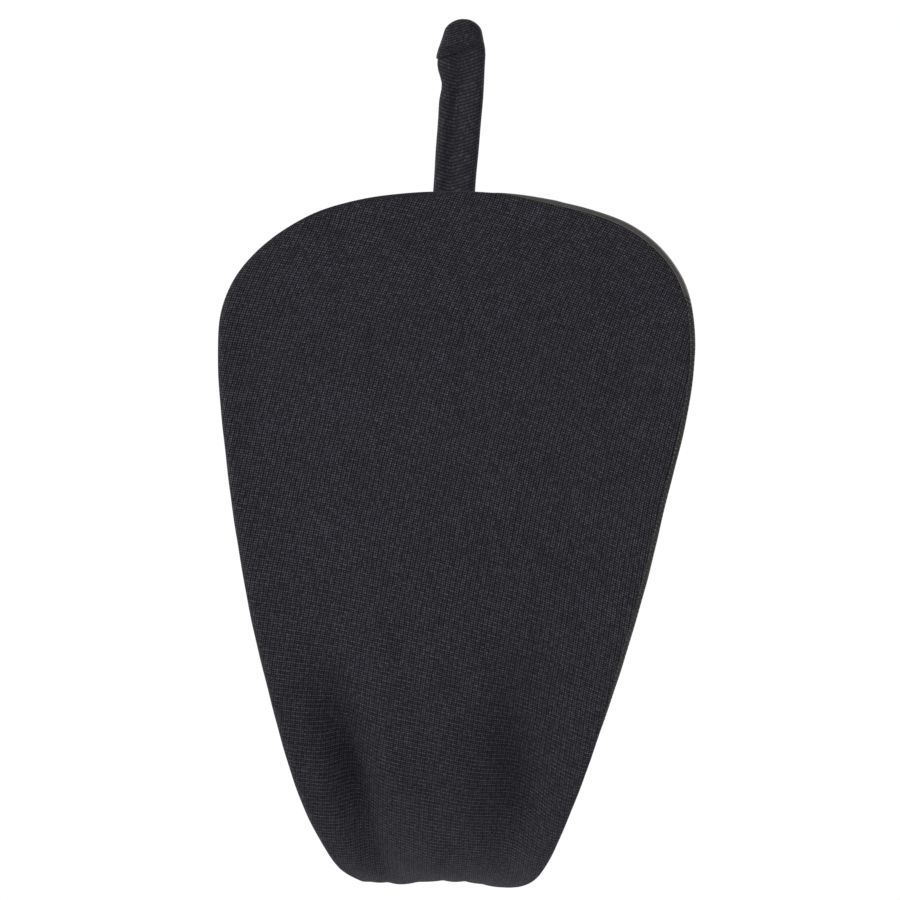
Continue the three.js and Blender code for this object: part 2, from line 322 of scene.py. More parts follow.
def tubeMesh(name, centres, radius, sides, finish, capRings=2):
    # a round bar along a smooth path, with rounded ends
    centres = np.array(centres)
    heading, normals, binormals = turningFrames(centres, 0.1)
    rings = []
    turn = np.linspace(0, 2 * math.pi, sides, endpoint=False)
    profile = [(centres[0] - heading[0] * radius * math.sin(a), radius * math.cos(a), 0)
               for a in np.linspace(math.pi / 2, 0, capRings + 2)[1:-1]]
    profile += [(centre, radius, index) for index, centre in enumerate(centres)]
    profile += [(centres[-1] + heading[-1] * radius * math.sin(a), radius * math.cos(a), len(centres) - 1)
                for a in np.linspace(0, math.pi / 2, capRings + 2)[1:-1]]
    for centre, size, index in profile:
        around = np.cos(turn)[:, None] * normals[index] + np.sin(turn)[:, None] * binormals[index]
        rings.append(centre + size * around)
    points = np.concatenate(rings)
    faces = gridFaces(len(rings), sides, wrap=True)
    first, last = len(points), len(points) + 1
    points = np.concatenate([points, [centres[0] - heading[0] * radius, centres[-1] + heading[-1] * radius]])
    for side in range(sides):
        after = (side + 1) % sides
        faces.append((first, after, side))
        faces.append((last, (len(rings) - 1) * sides + side, (len(rings) - 1) * sides + after))
    length = np.concatenate([[0], np.cumsum(np.linalg.norm(np.diff(centres, axis=0), axis=1))])
    runs = [length[index] for _, _, index in profile]
    around = turn * radius
    weave = np.array([(across * 1000, run * 1000) for run in runs for across in around] + [(0, 0)] * 2)
    return makePiece(name, points, faces, weave, finish)


# finishes

finishes = {
    "knitDark": (0.0050, 0.0048, 0.0066),
    "knitLight": (0.150, 0.145, 0.176),
    "liningDark": (0.012, 0.0115, 0.0145),
    "liningLight": (0.062, 0.060, 0.074),
    "cottonDark": (0.014, 0.0135, 0.0155),
    "cottonLight": (0.060, 0.058, 0.064),
    # the binding's light tone is partly the cloth's own warm grey and partly painted highlight of the edge
    "binding": (0.036, 0.0335, 0.032),
    "bindingLight": (0.185, 0.168, 0.152),
    "thread": (0.010, 0.010, 0.012),
    "threadLight": (0.040, 0.039, 0.044),
}


class Shades:
    # a small hand for wiring one material's nodes
    def __init__(self, name):
        self.material = bpy.data.materials.new(name)
        self.material.use_nodes = True
        self.tree = self.material.node_tree
        self.tree.nodes.clear()
        self.output = self.tree.nodes.new("ShaderNodeOutputMaterial")
        self.shader = self.tree.nodes.new("ShaderNodeBsdfPrincipled")
        self.link(self.shader.outputs[0], self.output.inputs["Surface"])
        self.place = 0

    def link(self, source, target):
        self.tree.links.new(source, target)

    def put(self, kind, **settings):
        node = self.tree.nodes.new(kind)
        node.location = (self.place % 2400 - 2600, -200 * (self.place // 2400))
        self.place += 180
        for key, value in settings.items():
            setattr(node, key, value)
        return node

    def feed(self, socket, value):
        if isinstance(value, bpy.types.NodeSocket):
            self.link(value, socket)
        else:
            socket.default_value = value

    def math(self, operation, first, second=0.0, third=None, clamp=False):
        node = self.put("ShaderNodeMath", operation=operation, use_clamp=clamp)
        self.feed(node.inputs[0], first)
        self.feed(node.inputs[1], second)
        if third is not None:
            self.feed(node.inputs[2], third)
        return node.outputs[0]

    def times(self, first, second, clamp=False):
        return self.math("MULTIPLY", first, second, clamp=clamp)

    def plus(self, first, second):
        return self.math("ADD", first, second)

    def less(self, first, second, clamp=False):
        return self.math("SUBTRACT", first, second, clamp=clamp)

    def marked(self, share, mark):
        # scaled by one of the mesh's own point values, where it has them
        if not mark:
            return share
        return self.times(share, self.put("ShaderNodeAttribute", attribute_name=mark).outputs["Fac"])

    def weave(self):
        node = self.put("ShaderNodeUVMap", uv_map="grain")
        parts = self.put("ShaderNodeSeparateXYZ")
        self.link(node.outputs[0], parts.inputs[0])
        return parts.outputs[0], parts.outputs[1]

    def join(self, x, y, z=0.0):
        node = self.put("ShaderNodeCombineXYZ")
        self.feed(node.inputs[0], x)
        self.feed(node.inputs[1], y)
        self.feed(node.inputs[2], z)
        return node.outputs[0]

    def noise(self, where, scale, detail=2.0, roughness=0.5):
        node = self.put("ShaderNodeTexNoise")
        self.link(where, node.inputs["Vector"])
        node.inputs["Scale"].default_value = scale
        node.inputs["Detail"].default_value = detail
        node.inputs["Roughness"].default_value = roughness
        return node.outputs[0]

    def scatter(self, x, y):
        node = self.put("ShaderNodeTexWhiteNoise", noise_dimensions="2D")
        self.link(self.join(x, y), node.inputs["Vector"])
        return node.outputs["Value"]

    def mix(self, share, first, second):
        node = self.put("ShaderNodeMix", data_type="RGBA")
        self.feed(node.inputs["Factor"], share)
        colours = [socket for socket in node.inputs if socket.type == "RGBA"]
        for socket, value in zip(colours, (first, second)):
            if isinstance(value, bpy.types.NodeSocket):
                self.link(value, socket)
            else:
                socket.default_value = (*value, 1)
        return [socket for socket in node.outputs if socket.type == "RGBA"][0]

    def spread(self, value, fromLow, fromHigh, toLow, toHigh):
        node = self.put("ShaderNodeMapRange")
        self.feed(node.inputs["Value"], value)
        limits = {"From Min": fromLow, "From Max": fromHigh, "To Min": toLow, "To Max": toHigh}
        for key, number in limits.items():
            node.inputs[key].default_value = number
        return node.outputs[0]

    def emboss(self, height, depth, strength):
        node = self.put("ShaderNodeBump")
        node.inputs["Strength"].default_value = strength
        node.inputs["Distance"].default_value = depth
        self.link(height, node.inputs["Height"])
        self.link(node.outputs[0], self.shader.inputs["Normal"])

    def surface(self, colour, roughness, metallic=0.0, sheen=0.0, sheenRoughness=0.5,
                sheenTint=(1, 1, 1), specular=0.5):
        if isinstance(colour, bpy.types.NodeSocket):
            self.link(colour, self.shader.inputs["Base Color"])
        else:
            self.shader.inputs["Base Color"].default_value = (*colour, 1)
        self.feed(self.shader.inputs["Roughness"], roughness)
        self.shader.inputs["Metallic"].default_value = metallic
        self.shader.inputs["Specular IOR Level"].default_value = specular
        self.shader.inputs["Sheen Weight"].default_value = sheen
        self.shader.inputs["Sheen Roughness"].default_value = sheenRoughness
        self.shader.inputs["Sheen Tint"].default_value = (*sheenTint, 1)
        return self.material


def knitFinish(name, dark, light, wale, course, depth, contrast, sheen, roughness, pairing=0.3, leaning=0.3,
               split=1.0, rowsFrom=None, paintedShadingMark=None):
    # plain jersey: each wale is a column of V stitches, and every other course catches a little more light; the
    # light colour on the stitch tops is painted sheen of the yarn over its dark ground
    shades = Shades(name)
    across, down = shades.weave()
    drift = shades.noise(shades.join(across, down), 0.055, 2.0)
    across = shades.plus(across, shades.times(shades.less(drift, 0.5), 1.1))
    column = shades.times(across, 1 / wale)
    inColumn = shades.math("FRACT", column)
    leg = shades.times(shades.math("ABSOLUTE", shades.less(inColumn, 0.5)), 2.0)
    row = shades.plus(shades.times(down, 1 / course), shades.times(leg, leaning))
    inRow = shades.math("FRACT", row)
    legPeak = shades.times(shades.less(leg, 0.46), 2.05 * split)
    legRound = shades.less(1.0, shades.times(legPeak, legPeak), clamp=True)
    if rowsFrom:
        closed = shades.spread(down, rowsFrom, rowsFrom + 80, 0.0, 0.5)  # lower down the wales close up
        fill = shades.times(shades.less(0.72, legRound), closed)
        legRound = shades.plus(legRound, fill)
    rowRound = shades.math("POWER", shades.math("SINE", shades.times(inRow, math.pi)), 0.8)
    stitch = shades.times(legRound, rowRound)
    rowIndex = shades.math("FLOOR", row)
    legIndex = shades.math("FLOOR", shades.times(column, 2.0))
    chance = shades.scatter(legIndex, rowIndex)
    pairs = shades.math("FRACT", shades.times(rowIndex, 0.5))
    everyOther = shades.times(shades.less(pairs, 0.25), 2 * pairing)
    if rowsFrom:
        clearer = shades.spread(down, rowsFrom, rowsFrom + 80, 0.5, 2.2)
        everyOther = shades.times(everyOther, clearer)
    blotch = shades.noise(shades.join(across, down, 3.0), 0.11, 3.0, 0.6)
    fuzz = shades.noise(shades.join(across, down, 7.0), 3.6, 1.0, 0.6)
    lift = shades.plus(1 - contrast, shades.times(shades.math("POWER", chance, 1.6), 2.2 * contrast))
    lift = shades.plus(lift, shades.plus(everyOther, 0.5 * pairing))
    lift = shades.times(lift, shades.spread(blotch, 0.3, 0.7, 0.92, 1.07))
    lift = shades.times(lift, shades.spread(fuzz, 0.25, 0.75, 0.45, 1.55))
    patchy = shades.noise(shades.join(across, down, 11.0), 1.4, 1.0, 0.5)
    lift = shades.times(lift, shades.spread(patchy, 0.3, 0.7, 0.80, 1.20))
    share = shades.times(shades.math("POWER", stitch, 1.3), lift)
    share = shades.times(share, 0.52, clamp=True)
    # the light share is scaled by the mesh's 'stretch' values, which hold painted light and painted shade
    colour = shades.mix(shades.marked(share, paintedShadingMark), dark, light)
    height = shades.plus(stitch, shades.times(fuzz, 0.3))
    shades.emboss(height, depth / 1000, 0.8)
    grit = shades.spread(fuzz, 0.2, 0.8, roughness - 0.06, roughness + 0.08)
    return shades.surface(colour, grit, sheen=sheen, sheenRoughness=0.45, sheenTint=(0.80, 0.80, 0.92),
                          specular=0.1)


def ribbedFinish(name, dark, light, pitch, depth, sheen, roughness, paintedShadingMark=None):
    # smooth elastic binding: fine cords along its length, crossed by a faint filling thread
    shades = Shades(name)
    across, down = shades.weave()
    rib = shades.math("SINE", shades.times(across, 2 * math.pi / pitch))
    filling = shades.math("SINE", shades.times(down, 2 * math.pi / (pitch * 0.7)))
    cloth = shades.times(shades.plus(rib, 1.0), shades.plus(filling, 1.6))
    cloth = shades.times(cloth, 0.19)
    blotch = shades.noise(shades.join(across, down, 2.0), 0.3, 3.0, 0.6)
    share = shades.times(cloth, shades.spread(blotch, 0.3, 0.7, 0.7, 1.25), clamp=True)
    # the light share is scaled by the mesh's 'stretch' values, which hold painted light and painted shade
    colour = shades.mix(shades.marked(share, paintedShadingMark), dark, light)
    shades.emboss(cloth, depth / 1000, 0.7)
    grit = shades.spread(blotch, 0.2, 0.8, roughness - 0.05, roughness + 0.07)
    return shades.surface(colour, grit, sheen=sheen, sheenRoughness=0.4, sheenTint=(0.9, 0.88, 0.9),
                          specular=0.4)


def twistFinish(name, dark, light, pitch, depth):
    # spun thread: two plies wound round each other
    shades = Shades(name)
    across, down = shades.weave()
    ply = shades.plus(across, down)
    wound = shades.math("SINE", shades.times(ply, 2 * math.pi / pitch))
    wound = shades.times(shades.plus(wound, 1.0), 0.5)
    hair = shades.noise(shades.join(across, down), 5.0, 3.0, 0.7)
    share = shades.times(wound, shades.spread(hair, 0.25, 0.75, 0.5, 1.2), clamp=True)
    colour = shades.mix(share, dark, light)
    shades.emboss(wound, depth / 1000, 0.8)
    grit = shades.spread(hair, 0.2, 0.8, 0.5, 0.68)
    return shades.surface(colour, grit, sheen=0.15, sheenRoughness=0.4, specular=0.4)


def drawnFinish(name, colour, worn, metallic, roughness, streaks, depth):
    # drawn wire, crimped brass, extruded tube and moulded pad, on the object's own coordinates
    shades = Shades(name)
    where = shades.put("ShaderNodeTexCoord").outputs["Object"]
    stretch = shades.put("ShaderNodeMapping")
    shades.link(where, stretch.inputs["Vector"])
    stretch.inputs["Scale"].default_value = streaks
    lines = shades.noise(stretch.outputs[0], 260.0, 4.0, 0.6)
    clouds = shades.noise(where, 90.0, 3.0, 0.6)
    share = shades.times(shades.spread(lines, 0.35, 0.7, 0, 1), shades.spread(clouds, 0.3, 0.7, 0.3, 1))
    tone = shades.mix(share, colour, worn)
    shades.emboss(lines, depth / 1000, 0.4)
    grit = shades.spread(clouds, 0.25, 0.75, roughness - 0.08, roughness + 0.1)
    return shades.surface(tone, grit, metallic=metallic, specular=0.5)


# finishes given 'stretch' take painted light and painted shade from the mesh's point values
blackKnit = knitFinish("blackKnit", finishes["knitDark"], finishes["knitLight"], 1.16, 0.58, 0.11, 0.34,
                       0.04, 0.8,
                       pairing=0.30, rowsFrom=80, paintedShadingMark="stretch")
strapKnit = knitFinish("strapKnit", (0.0150, 0.0145, 0.0182), (0.110, 0.107, 0.130), 1.0, 0.92, 0.08,
                       0.4, 0.05, 0.78,
                       pairing=0.0, leaning=0.16, split=0.62, paintedShadingMark="stretch")
# the hem's light tone is partly the cloth's own warm grey and partly painted highlight of the edge
hemJersey = knitFinish("hemJersey", (0.026, 0.0240, 0.0232), (0.235, 0.214, 0.198), 0.7, 0.5, 0.06, 0.3,
                       0.10, 0.72,
                       paintedShadingMark="stretch")
smoothKnit = knitFinish("smoothKnit", (0.010, 0.0096, 0.0125), (0.115, 0.111, 0.135), 0.58, 0.62, 0.08,
                        0.5, 0.08, 0.74,
                        pairing=0.1, leaning=0.2, split=0.8, paintedShadingMark="stretch")
liningKnit = knitFinish("liningKnit", finishes["liningDark"], finishes["liningLight"], 0.46, 0.40, 0.06,
                        0.3, 0.14, 0.8)
cottonJersey = knitFinish("cottonJersey", finishes["cottonDark"], finishes["cottonLight"], 0.70, 0.52,
                          0.09, 0.4, 0.30, 0.9)
smoothBinding = ribbedFinish("smoothBinding", finishes["binding"], finishes["bindingLight"], 0.42, 0.05,
                             0.22, 0.6,
                              paintedShadingMark="stretch")
spunThread = twistFinish("spunThread", finishes["thread"], finishes["threadLight"], 0.34, 0.04)
springWire = drawnFinish("springWire", (0.36, 0.37, 0.39), (0.55, 0.56, 0.58), 1.0, 0.34, (1, 1, 0.12), 0.02)
sleeveTube = drawnFinish("sleeveTube", (0.070, 0.070, 0.078), (0.10, 0.10, 0.108),
                         0.0, 0.42, (1, 1, 0.2), 0.02)
crimpedBrass = drawnFinish("crimpedBrass", (0.42, 0.29, 0.10), (0.58, 0.44, 0.20),
                           1.0, 0.36, (0.2, 1, 1), 0.04)
softRubber = drawnFinish("softRubber", (0.016, 0.016, 0.018), (0.026, 0.026, 0.028),
                         0.0, 0.62, (1, 1, 1), 0.03)
print("finishes ready")

# the front panel: one knit skin, rolled over the wire at both sides

panel = {
    "runStep": 1.25,
    "rayCells": 46,
    "rollCells": 9,
    "lipAngle": 22,  # degrees past the edge, where the skin ends out of sight
    "thickness": 0.5,
    "sag": 0.5,
    "sagReach": 7,
    "endAt": 249.8,
    "hubAt": 30,
    "valley": [(-29.3, 113), (-27.9, 123), (-26, 132), (-23.8, 143), (-21.9, 156), (-20.2, 171),
               (-17.2, 189)],
    "valleyShift": 3.0,
    "valleyDepth": 5.2,
    "valleyHalfWidth": 4.8,
    "hollow": [(14.7, 124), (16.2, 147), (16.2, 169)],
    "hollowShift": 4.0,
    "hollowDepth": 4.5,
    "hollowHalfWidth": 8.0,
    "seatFall": 1.0,
    # smaller ripples: height, where along, reach along, where across, reach across
    "ripples": [(-0.8, 203, 15, -14, 8), (-1.9, 177, 14, 0, 7), (-0.6, 173, 12, 23, 4),
                (0.5, 203, 12, 15, 5)],
    # strengths of the painted light at the bottom turn, the painted shade in the folds and the painted shade
    # round the lower middle
    "paintedLightAtTurn": 0.20,
    "paintedFoldShade": 0.36,
    "paintedMiddleShade": 0.12,
}


def lowerFolds(x, s):
    # the soft folds where the front draws in towards the crotch
    path = np.array(panel["valley"], float)
    centre = np.interp(s, path[:, 1], path[:, 0])
    deep = panel["valleyDepth"] * swell(145, 24, s) + 1.5 * swell(178, 14, s)
    wide = panel["valleyHalfWidth"] * (1 + 0.25 * swell(118, 14, s))
    fold = deep * swell(0, 1, (x - centre - panel["valleyShift"]) / wide)
    path = np.array(panel["hollow"], float)
    centre = np.interp(s, path[:, 1], path[:, 0])
    inHollow = swell(panel["hollowShift"], panel["hollowHalfWidth"], x - centre)
    fold += panel["hollowDepth"] * swell(148, 27, s) * inHollow
    fold += panel["seatFall"] * ease(120, 190, s) * (1 - ease(212, 240, s)) * swell(3, 10, x)
    for height, alongAt, alongReach, acrossAt, acrossReach in panel["ripples"]:
        fold += height * swell(alongAt, alongReach, s) * swell(acrossAt, acrossReach, x)
    fold += 0.35 * swell(60, 26, s) * swell(24, 16, x - 0.3 * (s - 60))
    fold -= 0.30 * swell(95, 22, s) * swell(-14, 15, x + 0.2 * (s - 95))
    return fold


def pullLines(x, s):
    # faint drags that run from the edges into the lower part
    wave = 0.16 * np.sin(0.9 * x + 0.16 * s) * swell(205, 22, s)
    wave += 0.08 * np.sin(0.55 * x - 0.12 * s + 1.0) * ease(60, 150, s)
    wave += 0.05 * np.sin(0.35 * x + 0.09 * s + 2.0)
    return wave


binding = {
    "showFrom": -6,  # where the binding starts to show on the front edge, millimetres right of the middle
    "endAt": 27,  # how far down the right side the binding runs
    "showAngle": 78,  # how far round to the front it shows at most
    "allowance": 5.0,
    "thickness": 0.45,
}
hem = {
    "stripFrom": 24,  # the right hem shows at the very edge between these heights
    "stripTo": 150,
    "showAngle": 78,
    "allowance": 4.6,
    "thickness": 0.45,
    "tuck": 0.42,
}
ferrule = {"from": 6, "to": 18, "bump": 0.28}


def edgeStart(run):
    # the angle round the rolled edge where the front skin ends and the strip under it comes out:
    # 0 is the very edge, -90 the front, 90 the back
    x, s = rimAt(run)[:2]
    onTop = ease(binding["showFrom"], binding["showFrom"] + 26, x) * (1 - ease(22, binding["endAt"] + 9, s))
    onSide = ease(hem["stripFrom"] - 12, hem["stripFrom"] + 4, s)
    onSide = onSide * (1 - ease(hem["stripTo"] - 40, hem["stripTo"], s))
    turned = np.maximum(onTop * binding["showAngle"], onSide * hem["showAngle"])
    turned = np.where(np.asarray(run) > 0, turned, 0.0)
    hidden = panel["lipAngle"] * (1 - ease(0, 20, turned))
    return hidden - turned


def ferruleBump(run):
    return ferrule["bump"] * ease(ferrule["from"] - 3, ferrule["from"], run) * (
        1 - ease(ferrule["to"], ferrule["to"] + 3, run))


def edgeWander(run):
    # a hand-sewn edge is never quite even
    return 0.10 * np.sin(run * 0.21 + 0.6) + 0.06 * np.sin(run * 0.53 + 2.1)


def panelHeight(x, s, inset, run):
    base = -layout["rollRadius"] - 0.6 * ferruleBump(run) * (1 - ease(0, 3, inset))
    base = base + panel["sag"] * ease(0, panel["sagReach"], inset) * (1 - 0.6 * swell(203, 25, s))
    narrow = ease(4, 14, rimHalfWidth(s))
    inner = ease(0.8, 9, inset)
    base = base + (lowerFolds(x, s) * inner + pullLines(x, s) * ease(0.5, 5, inset)) * narrow
    return base


def paintedShadingAt(x, s):
    # painted light and shade: lighter where the front turns under at the bottom, painted light from below;
    # darker in the folds and round the lower middle, painted shade
    foldShadeMask = np.clip(lowerFolds(x, s) / panel["valleyDepth"], 0, 1)
    paintedMiddleShade = panel["paintedMiddleShade"] * swell(140, 40, s)
    return 1 + panel["paintedLightAtTurn"] * swell(201, 15, s) - panel["paintedFoldShade"] * foldShadeMask - paintedMiddleShade


def frontRays():
    # rays from the middle line out to the rim, and on round the rolled edge
    reach = runAt(panel["endAt"])
    steps = int(round(reach / panel["runStep"]))
    runs = np.linspace(-reach, reach, 2 * steps + 1)
    rimX, rimS, outX, outS = rimAt(runs)
    size = np.abs(runs)
    foot = rimS + (panel["hubAt"] - layout["rollRadius"]) * (1 - ease(0, 84, rimS))
    foot = foot + 0.35 * size * np.exp(-size / 60)
    foot = np.where(rimS > 160, np.minimum(foot, rimS + 6 * (1 - ease(160, panel["endAt"], rimS))), foot)
    foot = np.minimum(foot, panel["endAt"])
    return runs, rimX, rimS, outX, outS, foot


def rayShares(count):
    # finer towards the rim
    t = np.linspace(0, 1, count + 1)
    return 1 - (1 - t) ** 1.35


def buildFrontPanel():
    runs, rimX, rimS, outX, outS, foot = frontRays()
    shares = rayShares(panel["rayCells"])
    flats, weaves, paintedShading = [], [], []
    for share in shares:
        x = rimX * share
        s = foot + (rimS - foot) * share
        inset = insetAt(x, s) if share < 1 else np.zeros_like(x)
        n = panelHeight(x, s, inset, runs)
        flats.append(columnsOf(x, s, n))
        weaves.append(grainAt(x, s))
        paintedShading.append(paintedShadingAt(x, s))
    wander = edgeWander(runs)
    lip = edgeStart(runs) + 7
    for share in np.linspace(0, 1, panel["rollCells"] + 1)[1:]:
        angle = np.radians(-90 + (lip + 90) * share)
        dive = ease(lip - 10, lip, np.degrees(angle))
        radius = layout["rollRadius"] + 0.6 * ferruleBump(runs) - 0.36 * dive
        radius = radius + wander * 0.35 * (1 + np.sin(angle))
        x = rimX + outX * radius * np.cos(angle)
        s = rimS + outS * radius * np.cos(angle)
        flats.append(columnsOf(x, s, radius * np.sin(angle)))
        laid = layout["rollRadius"] * (angle + math.pi / 2)
        weaves.append(grainAt(rimX + outX * laid, rimS + outS * laid))
        paintedShading.append(np.ones_like(runs))
    rows, columns = len(flats), len(runs)
    flat = np.concatenate(flats)
    faces = gridFaces(rows, columns)
    # the 'stretch' point values carry the painted light and painted shade of the front
    piece = makePiece("frontPanel", bend(flat), faces, np.concatenate(weaves), blackKnit,
                      marks={"stretch": np.concatenate(paintedShading)})
    weld(piece, 2e-6)
    return thicken(piece, panel["thickness"])


frontPanel = buildFrontPanel()
print("front panel:", len(frontPanel.data.polygons), "faces")

# hems and binding: one strip round each rolled edge and back onto the lining


def stripPath(startAngle, outerRadius, allowance, liningSide):
    # the strip's section at one run: out along the rim, and height through the cloth
    path, paintedStripTone = [], []
    first = startAngle - 22
    turns = np.concatenate([np.linspace(first, startAngle + 12, 7), np.linspace(startAngle + 12, 90, 12)[1:]])
    for angle in turns:
        shown = float(ease(startAngle - 3, startAngle + 9, angle))
        radius = outerRadius - hem["tuck"] * (1 - shown)
        path.append((radius * math.cos(math.radians(angle)), radius * math.sin(math.radians(angle))))
        # painted highlight where the strip shows at the front edge, and painted shade on the part turned back
        # onto the lining
        paintedStripTone.append(1.5 - 0.9 * float(ease(5, 60, angle)))
    for share in np.linspace(0, 1, 6)[1:]:
        path.append((-allowance * share, outerRadius + (liningSide - outerRadius) * float(ease(0, 1, share))))
    path.append((-allowance - 0.12, liningSide - 0.32))
    return path, paintedStripTone + [0.6] * (len(path) - len(paintedStripTone))


def liningTop(x, s, inset):
    # the lining's inner face follows the folds that push through from the front
    front = panelHeight(x, s, np.maximum(inset, 3.0), np.zeros_like(x))
    over = front + 1.45
    rest = 0.95 - 0.25 * ease(3, 20, inset)
    return np.logaddexp(over * 3, rest * 3) / 3


def buildStrip(name, firstRun, lastRun, sizes, finish):
    count = max(int(abs(lastRun - firstRun) / 1.25), 8)
    runs = np.linspace(firstRun, lastRun, count + 1)
    rows, weaves, paintedShading = [], [], []
    starts = edgeStart(runs)
    wander = edgeWander(runs)
    for index, run in enumerate(runs):
        x, s, outX, outS = (float(value) for value in rimAt(run))
        narrow = abs(x) < 12 and s > 100
        room = max(min(sizes["allowance"], abs(x) - 0.35), 0.6) if narrow else sizes["allowance"]
        backX, backS = np.array([x - outX * room]), np.array([s - outS * room])
        side = float(liningTop(backX, backS, insetAt(backX, backS))[0]) + 0.55
        side = min(side, 1.9)
        outer = layout["rollRadius"] - 0.03 + 0.6 * float(ferruleBump(run)) + 0.35 * float(wander[index])
        path, paintedStripTone = stripPath(float(starts[index]), outer, room, side)
        # the strip's painted highlight and painted shade go into its 'stretch' values
        paintedShading.append(paintedStripTone)
        rows.append([(x + outX * out, s + outS * out, n) for out, n in path])
        lengths = np.concatenate([[0], np.cumsum(np.hypot(*np.diff(np.array(path), axis=0).T))])
        weaves.append([(length, run) for length in lengths])
    flat = np.array(rows)
    columns = flat.shape[1]
    # left of the middle the run goes the same way round, so the faces keep one hand
    faces = gridFaces(len(rows), columns, flip=True)
    weave = np.array(weaves).reshape(-1, 2)
    marks = {"stretch": np.array(paintedShading)}
    piece = makePiece(name, bend(flat.reshape(-1, 3)), faces, weave, finish, marks=marks)
    return thicken(weld(piece, 2e-6), sizes["thickness"])


shoulder = runAt(layout["shoulderAt"])
rimEnd = runAt(panel["endAt"])
leftHem = buildStrip("leftHem", -rimEnd, -shoulder + 1.2, hem, hemJersey)
bindingEnd = runAt(binding["endAt"])
rightHem = buildStrip("rightHem", bindingEnd - 1.2, rimEnd, hem, hemJersey)
topBinding = buildStrip("topBinding", -shoulder, bindingEnd, binding, smoothBinding)
print("hems and binding laid")

# lining and gusset on the wearer's side

lining = {"thickness": 0.4, "inset": 1.3, "lapUnder": 8, "thicknessGusset": 0.6, "gussetLift": 0.7}


def buildLining():
    runs, rimX, rimS, outX, outS, foot = frontRays()
    shares = rayShares(34)
    edgeX = rimX - outX * lining["inset"]
    edgeS = rimS - outS * lining["inset"]
    flats = []
    for share in shares:
        x = edgeX * share
        s = foot + (edgeS - foot) * share
        inset = insetAt(x, s)
        n = liningTop(x, s, inset) - 0.25 * (1 - ease(0, 4, inset))
        flats.append(columnsOf(x, s, n))
    flat = np.concatenate(flats)
    faces = gridFaces(len(flats), len(runs), flip=True)
    piece = makePiece("frontLining", flat, faces, flat[:, :2], liningKnit)
    # cut straight across under the gusset while the cloth is still flat
    work = bmesh.new()
    work.from_mesh(piece.data)
    bmesh.ops.remove_doubles(work, verts=work.verts, dist=1e-3)
    everything = work.verts[:] + work.edges[:] + work.faces[:]
    cutAt = layout["gussetAt"] + lining["lapUnder"]
    bmesh.ops.bisect_plane(work, geom=everything, plane_co=(0, cutAt, 0), plane_no=(0, 1, 0),
                           clear_outer=True)
    work.to_mesh(piece.data)
    work.free()
    spots = np.zeros(len(piece.data.vertices) * 3)
    piece.data.vertices.foreach_get("co", spots)
    piece.data.vertices.foreach_set("co", bend(spots.reshape(-1, 3)).ravel())
    piece.data.update()
    return thicken(piece, lining["thickness"])


def buildGusset():
    start, end = layout["gussetAt"] - 2.5, panel["endAt"] - 0.2
    rows = 118
    columns = 41
    flats = []
    for s in np.linspace(start, end, rows):
        half = float(rimHalfWidth(s)) - 1.5
        half = max(half, 1.2)
        fan = np.linspace(-math.pi / 2, math.pi / 2, columns) * 0.92  # finer towards both edges
        x = half * np.sin(fan) / math.sin(math.pi / 2 * 0.92)
        down = np.full_like(x, s)
        inset = insetAt(x, down)
        n = liningTop(x, down, inset) + lining["gussetLift"] - 0.35 * (1 - ease(0, 3.5, inset))
        n = n - 0.3 * float(1 - ease(start, start + 1.2, s))
        flats.append(columnsOf(x, down, n))
    flat = np.concatenate(flats)
    weave = columnsOf(flat[:, 1], flat[:, 0])
    piece = makePiece("gussetLiner", bend(flat), gridFaces(rows, columns), weave, cottonJersey)
    return thicken(piece, lining["thicknessGusset"])


frontLining = buildLining()
gussetLiner = buildGusset()
print("lining and gusset laid")

# wires and their sleeves inside the rolled edges

wires = {
    "radius": 0.4,
    "sides": 10,
    "step": 2.0,
    "buttAt": 12,
    "buttGap": 0.15,
    "splitAt": 248,
    "splitGap": 0.5,
    "strapHalf": 3.4,  # from the strap's middle to either wire
    "turnInset": 1.6,
    "sleeveRadius": 0.95,
    "sleeveWall": 0.3,
    "sleeveSides": 12,
    "sleeveStep": 2.5,
    "sleeveStop": 14,
    "rungs": 60,
}


def rimPoints(first, last, step):
    count = max(int(abs(last - first) / step), 4)
    x, s, _, _ = rimAt(np.linspace(first, last, count + 1))
    return bend(columnsOf(x, s, np.zeros_like(x)))


def strapBow(s):
    # the strap leans a little as it rises behind the front
    return 0.15 - 0.75 * ease(285, 380, s) * (1 - ease(392, 428, s))


def hairpin(bottom):
    half = wires["strapHalf"]
    turnAt = layout["tipAt"] - wires["turnInset"] - half
    down = np.linspace(bottom, turnAt, int((turnAt - bottom) / wires["step"]))
    left = columnsOf(strapBow(down) - half, down, np.zeros_like(down))
    turn = np.linspace(math.pi, 0, 14)[1:-1]
    arc = columnsOf(half * np.cos(turn), turnAt + half * np.sin(turn), np.zeros_like(turn))
    right = left[::-1] + (2 * half, 0, 0)
    return bend(np.concatenate([left, arc, right]))


splitRun = runAt(wires["splitAt"])
strapFoot = wires["splitAt"] + wires["splitGap"]


def wireMesh(name, points):
    return tubeMesh(name, points, wires["radius"] / 1000, wires["sides"], springWire)


wireLeft = wireMesh("wireLeft", rimPoints(-splitRun, wires["buttAt"] - wires["buttGap"], wires["step"]))
wireRight = wireMesh("wireRight", rimPoints(wires["buttAt"] + wires["buttGap"], splitRun, wires["step"]))
wireStrap = wireMesh("wireStrap", hairpin(strapFoot))


